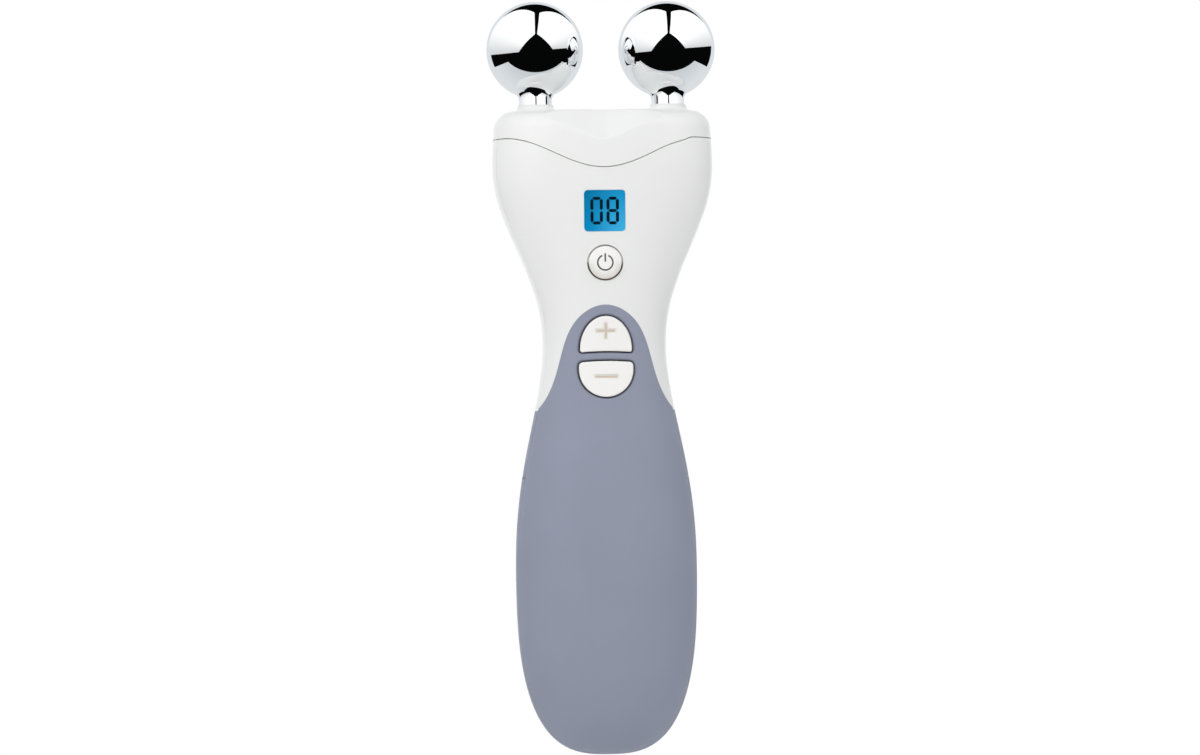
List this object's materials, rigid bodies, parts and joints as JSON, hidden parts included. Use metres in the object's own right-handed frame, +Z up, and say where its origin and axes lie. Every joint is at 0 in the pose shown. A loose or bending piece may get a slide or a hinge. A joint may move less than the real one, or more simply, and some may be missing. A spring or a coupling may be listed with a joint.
{
  "type": "facial toning device",
  "caption": "Hand-held facial toning device: two polished ball electrodes on a white head, lit display, power and level keys, soft grip and sliding battery cover.",
  "frame": {"origin": "centre of the handle at its widest section, where the hand closes on it", "axes": "+Z up along the handle to the head, -Y out of the face with the display and keys, +X to the right seen from the front"},
  "size_m": [0.0612, 0.0377, 0.2012],
  "materials": {
    "white_plastic": "satin-gloss moulded plastic",
    "grip_rubber": "soft-touch matt",
    "dark_plastic": "matt",
    "polished_chrome": "mirror polish",
    "seal_rubber": "seal",
    "steel": "plated",
    "brass_terminal": "plated brass",
    "insulation_white": "wire insulation",
    "clear_window": "clear",
    "figure_ink": "dark figures",
    "display_blue": "lit display",
    "light_guide": "milky",
    "dark_silicone": "matt silicone",
    "key_plastic": "satin moulded plastic",
    "mark_grey": "grey inlay",
    "mark_beige": "beige inlay",
    "board_green": "solder mask",
    "copper_coil": "enamelled winding",
    "can_blue": "sleeved can",
    "battery_case": "printed steel can",
    "foam": "closed-cell foam",
    "insulation_red": "wire insulation",
    "insulation_black": "wire insulation"
  },
  "bodies": {
    "housing": {"front_shell": "white_plastic", "rear_shell": "white_plastic", "head_cap": "white_plastic", "front_grip": "grip_rubber", "rear_grip": "grip_rubber", "left_electrode": "polished_chrome", "right_electrode": "polished_chrome", "left_electrode_seal": "seal_rubber", "right_electrode_seal": "seal_rubber", "electrode_washers": "steel", "electrode_nuts": "steel", "electrode_terminals": "brass_terminal", "left_electrode_wire": "insulation_white", "right_electrode_wire": "insulation_white", "lcd_window": "clear_window", "lcd_digits": "figure_ink", "lcd_panel": "display_blue", "lcd_frame": "dark_plastic", "lcd_backlight": "light_guide", "lcd_contact_strip": "dark_silicone", "power_switch": "dark_plastic", "plus_switch": "dark_plastic", "minus_switch": "dark_plastic", "circuit_board": "board_green", "controller_chip": "dark_plastic", "output_transformer": "copper_coil", "capacitors": "can_blue", "chip_components": "light_guide", "buzzer": "dark_plastic", "battery_tray": "dark_plastic", "battery": "battery_case", "battery_contacts": "steel", "battery_snap": "dark_plastic", "battery_wire_red": "insulation_red", "battery_wire_black": "insulation_black", "housing_screws": "steel", "board_screws": "steel", "tray_screws": "steel"},
    "power_key": {"power_button": "key_plastic", "power_symbol": "mark_grey", "power_button_pad": "dark_silicone", "power_switch_plunger": "dark_plastic"},
    "plus_key": {"plus_button": "key_plastic", "plus_symbol": "mark_beige", "plus_button_pad": "grip_rubber", "plus_switch_plunger": "dark_plastic"},
    "minus_key": {"minus_button": "key_plastic", "minus_symbol": "mark_beige", "minus_button_pad": "grip_rubber", "minus_switch_plunger": "dark_plastic"},
    "battery_door": {"battery_cover": "dark_plastic", "cover_grip": "grip_rubber", "battery_foam": "foam"}
  },
  "joints": [
    {"name": "power_press", "type": "slide", "parent": "housing", "child": "power_key", "axis": [0, 1, 0], "range_m": [0, 0.0008], "stiffness_N_per_m": 900, "springref_m": -0.0006},
    {"name": "plus_press", "type": "slide", "parent": "housing", "child": "plus_key", "axis": [0, 1, 0], "range_m": [0, 0.0008], "stiffness_N_per_m": 900, "springref_m": -0.0006},
    {"name": "minus_press", "type": "slide", "parent": "housing", "child": "minus_key", "axis": [0, 1, 0], "range_m": [0, 0.0008], "stiffness_N_per_m": 900, "springref_m": -0.0006},
    {"name": "battery_cover_slide", "type": "slide", "parent": "housing", "child": "battery_door", "axis": [0, 0, -1], "range_m": [0, 0.095]}
  ]
}
